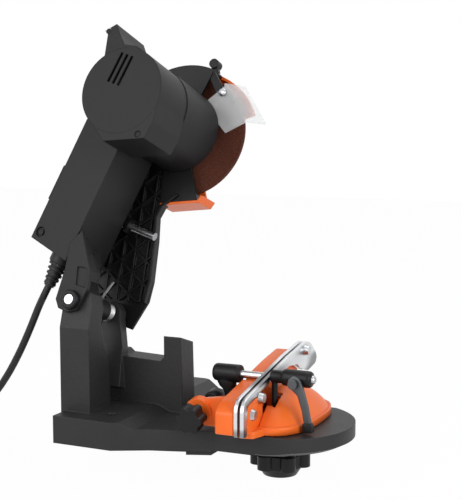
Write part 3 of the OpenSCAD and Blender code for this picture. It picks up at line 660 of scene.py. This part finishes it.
class SHARPENER_OT_cord(bpy.types.Operator):
    """Sweep the supply cord from its gland through its coil to the plug"""

    bl_idname = "sharpener.cord"
    bl_label = "Supply cord"

    def execute(self, context):
        s = context.scene.sharpener
        line = cord_line()
        piece = smooth(swept("supply_cord", line, s.cord_diameter / 2, CORD_SIDES))
        dress(piece, "cord_rubber", BASE, "cord_tube", "cord_coil")
        return {"FINISHED"}


def boot_grid(around=64):
    """Gland boot round its leaning axis: r(s, a) = core(s) + rib(s) where that rib's window is closed."""
    s = np.concatenate([[0.0], np.linspace(0.05, 8.95, 8), np.linspace(9.05, 28.95, 81), [GLAND_LENGTH]])
    a = 2 * math.pi * np.arange(around) / around
    in_collar = s < COLLAR_LENGTH
    collar = 9.15 - 0.4 * np.clip((0.6 - s) / 0.6, 0, 1) - 0.5 * np.clip((s - 8.4) / 0.6, 0, 1)
    sleeve = 6.4 - 2.25 * (s - COLLAR_LENGTH) / (GLAND_LENGTH - COLLAR_LENGTH)
    core = np.where(in_collar, collar, sleeve)
    k = np.floor((s - COLLAR_LENGTH) / RIB_PITCH)
    t = (s - COLLAR_LENGTH) / RIB_PITCH - k
    rib = np.clip(np.minimum(t, RIB_SHARE - t) * 14, 0, 1) * (8.1 - 0.75 * k - core) * (~in_collar)
    quarter = np.where(k % 2 == 0, 0, math.pi / 2)[:, None]
    window = 0.5 + 0.5 * np.tanh(7 * (np.abs(np.cos(a[None] + quarter)) - 0.3))
    r = core[:, None] + rib[:, None] * window
    r[0] = r[-1] = POLE
    side = np.array([math.cos(GLAND_LEAN), 0, -math.sin(GLAND_LEAN)])
    ring = side * np.cos(a)[:, None] - np.array(ALONG_Y, float) * np.sin(a)[:, None]
    return head_point(GLAND_ROOT + s[:, None, None] * GLAND_AXIS + r[:, :, None] * ring[None])


class SHARPENER_OT_gland(bpy.types.Operator):
    """Mould the ribbed boot that holds the cord where it leaves the arm"""

    bl_idname = "sharpener.gland"
    bl_label = "Cord gland"

    def execute(self, context):
        dress(smooth(tube_mesh("cord_gland", boot_grid()), 50), "cord_rubber", HEAD, "strain_relief")
        return {"FINISHED"}


def spring_line(per=28):
    """Wire centre: a leg, w(a) = (-R cos a, y0 + p a / 360, -R sin a) to four turns, then a tail."""
    radius, start, pitch = 7.0, -32.0, 2.1
    a = np.linspace(start, SPRING_END, int(per * (SPRING_END - start) / 360))
    q = np.radians(a)
    turns = np.stack([-radius * np.cos(q), -12.0 + pitch * (a - start) / 360, -radius * np.sin(q)], 1)
    lean = math.radians(-start)
    leg = turns[0] + np.outer([24.0, 16.0, 9.0, 4.0], [math.sin(lean), 0, math.cos(lean)])
    tail = turns[-1] + np.array([[0, 0.1, -2.0], [0, 0.5, -8.0], [0, 1.3, -16.0]])
    return head_point(np.vstack([leg, turns, tail]))


class SHARPENER_OT_spring(bpy.types.Operator):
    """Wind the return spring round the hinge, one leg up to the head and one down to the base"""

    bl_idname = "sharpener.spring"
    bl_label = "Return spring"

    def execute(self, context):
        wire = swept("return_spring", spring_line(), SPRING_WIRE, SPRING_SIDES)
        dress(smooth(wire), "spring_steel", BASE, "torsion_spring")
        return {"FINISHED"}


# ---------------------------------------------------------------- jaws and clamp

JAW_TOP = [
    [-70, 20], [-70, 40], [-68.5, 44], [-65, 47.5], [-60, 49], [19.5, 64.4], [57, 69.8],
    [66, 67.6], [73, 62.6], [80, 56.5], [82, 52], [79, 47.6],
]

HUB_PROFILE = [
    (104.5, POLE), (104.5, 4.6), (104.9, 5.9), (105.8, 6.6), (107.4, 6.9), (124, 7.1), (126.2, 7.0),
    (126.9, 6.6), (127.2, 5.8), (127.2, 3.04), (124.0, 3.02), (124.0, POLE),
]

GRIP_ROWS = [
    (54.5, 114.0, -16, 7.0, 5.4), (51, 114.4, -16, 7.6, 5.6), (48, 114.9, -16, 7.5, 5.6),
    (45, 115.8, -16, 6.8, 5.3), (42.5, 117.0, -16.1, 5.0, 4.8), (40, 117.8, -16.2, 4.7, 4.5),
    (37, 118.2, -16.4, 4.4, 4.2), (34, 118.4, -16.6, 4.1, 4.0), (32.4, 118.4, -16.6, 3.7, 3.7),
    (31.6, 118.4, -16.6, 2.8, 2.8), (31.3, 118.4, -16.6, 0.6, 0.6),
]


def jaw_plate(leg, strip, low, high):
    """Jaw plate: the rail's outline above, a lobe at the far end, a strip and a leg at the near end."""
    under = [
        [62, 44.5], [50, 48.5], [38, 54.5], [20, 58.6 - strip * 0.4], [-20, 56.8 - strip],
        [-44, 52.1 - strip], [leg + 5, 49.0 - strip], [leg + 1, 46.5 - strip * 0.8], [leg, 38], [leg, 20],
    ]
    return slab(rounded(JAW_TOP + under, 2.0), low, high, 0.5, on_x)


class SHARPENER_OT_jaws(bpy.types.Operator):
    """Cut the two chrome jaw plates with their strip, lobe and leg"""

    bl_idname = "sharpener.jaws"
    bl_label = "Jaw plates"

    def execute(self, context):
        add_piece("front_jaw", [jaw_plate(-62.5, 5.6, 150, 153)], 35, "jaw_plate", VISE, "fixed_jaw")
        add_piece("rear_jaw", [jaw_plate(-62.0, 6.0, 145, 148)], 35, "jaw_plate", "jaw", "moving_jaw")
        return {"FINISHED"}


class SHARPENER_OT_handle(bpy.types.Operator):
    """Mould the clamp handle: a hub round the screw and a grip that narrows downwards"""

    bl_idname = "sharpener.handle"
    bl_label = "Clamp handle"

    def execute(self, context):
        hub = turned(HUB_PROFILE, (0, -16, 55), ALONG_X)
        add_piece("clamp_handle", [hub, stacked(GRIP_ROWS)], 50, "black_plastic", "clamp", "clamp_lever")
        return {"FINISHED"}


# ---------------------------------------------------------------- chain stop and pawl

STOP_Y, STOP_Z = -18.5, 56.5
STOP_LEAN = math.radians(10)

BARREL_PROFILE = [
    (153.8, POLE), (153.8, 4.2), (154.4, 4.9), (162.6, 5.0), (163.4, 5.4), (164.2, 6.2), (166, 6.5),
    (183, 6.5), (185.4, 6.2), (186.6, 5.4), (187.0, 4.2), (187.0, POLE),
]
CAP_PROFILE = [(187.0, POLE), (187.0, 3.4), (187.6, 3.4), (188.8, 2.8), (189.6, 1.6), (189.8, POLE)]
POST_PROFILE = [(25.5, POLE), (25.5, 2.4), (54, 2.4), (54, POLE)]
NUT_PROFILE = [(34, 4.15), (34, 5.8), (34.7, 6.5), (45.3, 6.5), (46, 5.8), (46, 4.15), (34, 4.15)]
BAR_OUTLINE = [[99.5, -5], [156.5, -5], [156.5, 5], [99.5, 5]]
BLOCK_OUTLINE = [[99.5, -23.1], [112.5, -23.1], [112.5, -13.9], [99.5, -13.9]]
BLADE_OUTLINE = [
    [171.3, 51.5], [170.8, 57], [175, 60.4], [180.5, 58], [183.6, 50], [187.2, 38], [189.6, 26],
    [189.2, 23.6], [184.2, 23.6], [182.4, 34], [178.6, 46],
]
# Outline of a black block at the pawl's lower end, reaching down to the table: painted shade.
PAWL_SHADE_OUTLINE = [[183.6, 17.9], [191.4, 18.6], [190.6, 25.4], [183.2, 25.2]]


def leaning_bar():
    """Bar under the jaws: a flat slab turned by the nut's lean about X and set at its height."""
    bar = slab(rounded(BAR_OUTLINE, 1.0), -1.5, 1.5, 0.4, on_z)
    c, s = math.cos(STOP_LEAN), math.sin(STOP_LEAN)
    y = bar[..., 1] * c - bar[..., 2] * s + STOP_Y
    z = bar[..., 1] * s + bar[..., 2] * c + 25.2
    return np.stack([bar[..., 0], y, z], -1)


class SHARPENER_OT_stop(bpy.types.Operator):
    """Turn the chain stop's barrel over its slide, cut the long pawl, and add a black block of painted shade
    at its lower end
    """

    bl_idname = "sharpener.stop"
    bl_label = "Chain stop and pawl"

    def execute(self, context):
        barrel = turned(BARREL_PROFILE, (0, STOP_Y, STOP_Z), ALONG_X)
        post = turned(POST_PROFILE, (156.3, STOP_Y, 0), ALONG_Z, 24)
        nut = turned(NUT_PROFILE, (106, -60, 28), (0, math.cos(STOP_LEAN), math.sin(STOP_LEAN)))
        block = slab(rounded(BLOCK_OUTLINE, 1.0), 24.6, 30.0, 0.5, on_z)
        parts = [barrel, post, leaning_bar(), nut, block]
        add_piece("chain_stop_barrel", parts, 45, "black_plastic", "chain_stop", "stop_carriage")
        blade = slab(rounded(BLADE_OUTLINE, 2.0), -28.9, -26.1, 0.4, on_y)
        add_piece("pawl_strip", [blade], 35, "pawl_steel", "pawl", "chain_pawl")
        # Painted shade: a black block at the pawl's lower end, down to the table, stands in for the dark shade
        # there.
        pawl_shade = slab(rounded(PAWL_SHADE_OUTLINE, 1.0), -30.2, -24.8, 0.6, on_y)
        add_piece("painted_pawl_shade", [pawl_shade], 35, "black_plastic", "pawl")
        return {"FINISHED"}


# ---------------------------------------------------------------- vise table

# Half widths and power of the bowl's superellipse, then its middle, and its wall in metres.
RIM_X, RIM_Y, RIM_POWER = 31.0, 53.0, 2.7
BOWL_X, BOWL_Y = 153.6, 7.0
BOWL_WALL = 0.0016
PLATE_X, PLATE_SHARE = 153.5, 0.985

PLATE_LEFT = [[153, 58], [142, 58], [129.6, 50], [129.6, -44], [142, -46], [153, -46]]
BACKING_OUTLINE = [
    [-69.4, 21], [-69.4, 38], [-60, 44], [-20.1, 51.8], [-18.7, 50.4], [-16, 49.7], [-13.3, 50.4],
    [-11.4, 52.4], [-10.9, 53.6], [19, 59.5], [50, 64], [60, 58], [58, 17.2], [-6.5, 17.2],
    [-6.5, 30], [-30.5, 30], [-30.5, 17.2], [-46, 17.2],
]
BACKING_CORNERS = np.array([1.5, 3, 3, 0.5, 1, 1.5, 1, 0.8, 0.5, 3, 4, 4, 1, 1, 1, 1, 1, 1.5])
CHEEK_OUTLINE = [[-62.1, 21], [-62.1, 38], [-60, 42.6], [-44, 45.4], [-34, 44], [-34, 21]]
FOOT_OUTLINE = [[144, -60], [155.4, -58], [160, -44], [144, -40]]
LIP_OUTLINE = [[-60.5, 20], [-60.5, 36.5], [-56, 41.5], [-44, 42.5], [-36, 20]]


def half_rim(count, share=1.0, x0=BOWL_X):
    """Half rim of the bowl, x0 + share R cos f and y0 + share R sin f.

    R = ((|cos f| / a)^p + (|sin f| / b)^p)^(-1/p), f from -90 to 90 degrees.
    """
    f = np.linspace(-math.pi / 2, math.pi / 2, count)
    c, s = np.cos(f), np.sin(f)
    r = ((np.abs(c) / RIM_X) ** RIM_POWER + (np.abs(s) / RIM_Y) ** RIM_POWER) ** (-1 / RIM_POWER)
    return x0 + share * r * c, BOWL_Y + share * r * s


def bowl_shell(around=300, across=52):
    """Pressed bowl before the jaws: z = 22.5 + 23 (1 - (t / 0.935)^1.9)^0.85, t from 1 at the rim to 0.

    The rim is rolled down to the table, and faces are left out where the chain stop's post passes.
    """
    u = np.linspace(0.93, 0.02, across)
    t = np.concatenate([[1.0, 1.0, 0.995, 0.98, 0.96, 0.945], u])
    dome = 22.5 + 23.0 * (1 - (u / 0.935) ** 1.9) ** 0.85
    z = np.concatenate([[17.3, 22.2, 23.0, 23.4, 23.1, 22.7], dome])
    x, y = half_rim(around, t[:, None])
    points = np.stack([x, y, np.broadcast_to(z[:, None], x.shape)], -1).reshape(-1, 3)
    n, m = x.shape
    i, k = (v.ravel() for v in np.meshgrid(np.arange(n - 1), np.arange(m - 1), indexing="ij"))
    quads = np.stack([i * m + k, i * m + k + 1, (i + 1) * m + k + 1, (i + 1) * m + k], 1)
    mid = points[quads].mean(1)
    keep = (mid[:, 1] > -11.4) | (mid[:, 1] < -27.4) | (mid[:, 0] > 160.4)
    return linked("vise_bowl", (points / PER_METRE).tolist(), quads[keep].tolist())


class SHARPENER_OT_bowl(bpy.types.Operator):
    """Press the orange vise table: plate, backing with its notch, near cheek and the bowl before the jaws"""

    bl_idname = "sharpener.bowl"
    bl_label = "Vise table"

    def execute(self, context):
        half = np.stack(half_rim(60, PLATE_SHARE, PLATE_X), 1)
        left = rounded(PLATE_LEFT, 3.0)[3:-3]
        plate = slab(np.vstack([half, left]), 16.95, 22.2, 0.5, on_z)
        backing = slab(rounded(BACKING_OUTLINE, BACKING_CORNERS), 129.5, 144.5, 1.2, on_x)
        cheek = slab(rounded(CHEEK_OUTLINE, 2.0), 150.0, 153.0, 0.4, on_x)
        foot = slab(rounded(FOOT_OUTLINE, 3.0), 17.0, 22.4, 0.6, on_z)
        lip = slab(rounded(LIP_OUTLINE, 3.0), 152.8, 153.2, 0.15, on_x)
        add_piece("vise_plate", [plate, backing, cheek, foot, lip], 50, "orange_paint", VISE, "vise_table")
        bowl = smooth(bowl_shell(), 50)
        wall = bowl.modifiers.new("wall", "SOLIDIFY")
        wall.thickness = BOWL_WALL
        wall.offset = -1.0
        dress(bowl, "orange_paint", VISE)
        cap = turned(CAP_PROFILE, (0, STOP_Y, STOP_Z), ALONG_X, 32)
        add_piece("stop_cap", [cap], 40, "zinc", "chain_stop")
        return {"FINISHED"}


# ---------------------------------------------------------------- small trim of the head

COLLAR_PROFILE = [
    (-65.35, 3.9), (-65.9, 4.3), (-66.1, 5.2), (-66.1, 6.6), (-65.6, 7.4), (-64.6, 7.8), (-61.6, 7.8),
    (-61.6, 6.45), (-65.3, 6.45), (-65.35, 3.9),
]
SCREW_PROFILE = [
    (5.9, POLE), (5.9, 2.4), (6.3, 3.1), (7.0, 3.4), (8.0, 3.4), (8.0, 1.6), (10, 1.55), (10, POLE),
]
CLIP_OUTLINE = [[57.4, 206.9], [60.6, 214], [71.4, 198], [68, 189]]


class SHARPENER_OT_trim(bpy.types.Operator):
    """Add the pivot's black collar, the shield's screw and its dark clip"""

    bl_idname = "sharpener.trim"
    bl_label = "Collar, screw and clip"

    def execute(self, context):
        collar = turned(COLLAR_PROFILE, (0, 0, 0), ALONG_Y, 48)
        add_piece("pivot_collar", [collar], 45, "black_plastic", BASE, place=head_point)
        screw = turned(SCREW_PROFILE, (72, 0, 194), ALONG_Y, 32)
        add_piece("shield_screw", [screw], 40, "zinc", HEAD, place=head_point)
        clip = slab(rounded(CLIP_OUTLINE, 2.0), 9.65, 12.2, 0.4, on_y)
        add_piece("shield_clip", [clip], 40, "black_plastic", HEAD, "shield_bracket", place=head_point)
        return {"FINISHED"}


# ---------------------------------------------------------------- stage

# Lengths in metres; the lens and its sensor in millimetres.
FLOOR_HALF = 3
FLOOR_WHITE = 0.975
LAMP_WIDTH = 1.2
TOP_SHARE = 0.36
CAMERA_PLACE = (0.48705, -0.81746, 0.25308)
CAMERA_TURN = (math.radians(83.42), 0, math.radians(24.73))
CAMERA_LENS, CAMERA_SENSOR, CAMERA_REACH = 90.16, 36, 20


def area_lamp(name, place, target, power):
    """A broad square lamp that faces the target."""
    data = bpy.data.lights.new(name, "AREA")
    data.size = LAMP_WIDTH
    data.energy = power
    lamp = bpy.data.objects.new(name, data)
    lamp.location = place
    lamp.rotation_euler = (Vector(target) - Vector(place)).to_track_quat("-Z", "Y").to_euler()
    bpy.context.scene.collection.objects.link(lamp)


class SHARPENER_OT_stage(bpy.types.Operator):
    """Floor, soft lights, white world and the photograph's camera"""

    bl_idname = "sharpener.stage"
    bl_label = "Stage"

    def execute(self, context):
        scene = context.scene
        s = scene.sharpener
        w, z = FLOOR_HALF, s.floor_height
        floor = linked("floor", [(-w, -w, z), (w, -w, z), (w, w, z), (-w, w, z)], [(0, 1, 2, 3)])
        color = tuple(s.floor_color)
        pale = Mat("stage_floor", color, 0.9)
        pale.give("Base Color", pale.mix(pale.noise(3.0).smooth(0.3, 0.7) * 0.03, color, (1, 1, 1)))
        pale.seen_white(FLOOR_WHITE)
        floor.data.materials.append(pale.m)

        area_lamp("key", (-0.6, -1.7, 0.9), (0.05, 0, 0.12), s.light_power)
        area_lamp("fill", (1.8, -0.9, 0.7), (0.05, 0, 0.12), s.fill_power)
        area_lamp("top", (0.2, 0.6, 1.7), (0.05, 0, 0.1), s.fill_power * TOP_SHARE)

        world = bpy.data.worlds.new("white")
        world.use_nodes = True
        sky = Nodes(world.node_tree)
        seen, background = sky.seen(), sky.own("BACKGROUND")
        sky.plug(seen + (1 - seen) * s.sky_level, background.inputs["Strength"])
        sky.plug((1, 1, 1, 1), background.inputs["Color"])
        scene.world = world
        scene.view_settings.view_transform = "Standard"

        data = bpy.data.cameras.new("camera")
        data.sensor_fit = "HORIZONTAL"
        data.sensor_width = CAMERA_SENSOR
        data.lens = CAMERA_LENS
        data.clip_end = CAMERA_REACH
        camera = bpy.data.objects.new("camera", data)
        camera.location = CAMERA_PLACE
        camera.rotation_euler = CAMERA_TURN
        scene.collection.objects.link(camera)
        scene.camera = camera
        return {"FINISHED"}


# ---------------------------------------------------------------- panel and run

class SHARPENER_PT_panel(bpy.types.Panel):
    """Buttons and settings in the sidebar"""

    bl_idname = "SHARPENER_PT_panel"
    bl_label = "Sharpener"
    bl_space_type = "VIEW_3D"
    bl_region_type = "UI"
    bl_category = "Sharpener"

    def draw(self, context):
        for prop in SharpenerSettings.__annotations__:
            self.layout.prop(context.scene.sharpener, prop)
        for cls in OPERATORS:
            self.layout.operator(cls.bl_idname)


OPERATORS = (
    SHARPENER_OT_nodes, SHARPENER_OT_cord, SHARPENER_OT_gland, SHARPENER_OT_spring, SHARPENER_OT_jaws,
    SHARPENER_OT_handle, SHARPENER_OT_stop, SHARPENER_OT_bowl, SHARPENER_OT_trim, SHARPENER_OT_stage,
)
CLASSES = (SharpenerSettings, *OPERATORS, SHARPENER_PT_panel)


def register():
    for cls in CLASSES:
        bpy.utils.register_class(cls)
    bpy.types.Scene.sharpener = bpy.props.PointerProperty(type=SharpenerSettings)


def unregister():
    del bpy.types.Scene.sharpener
    for cls in reversed(CLASSES):
        bpy.utils.unregister_class(cls)


def main():
    register()
    make_materials()
    for cls in OPERATORS:
        getattr(bpy.ops.sharpener, cls.bl_idname.split(".")[1])()


if __name__ == "__main__":
    main()
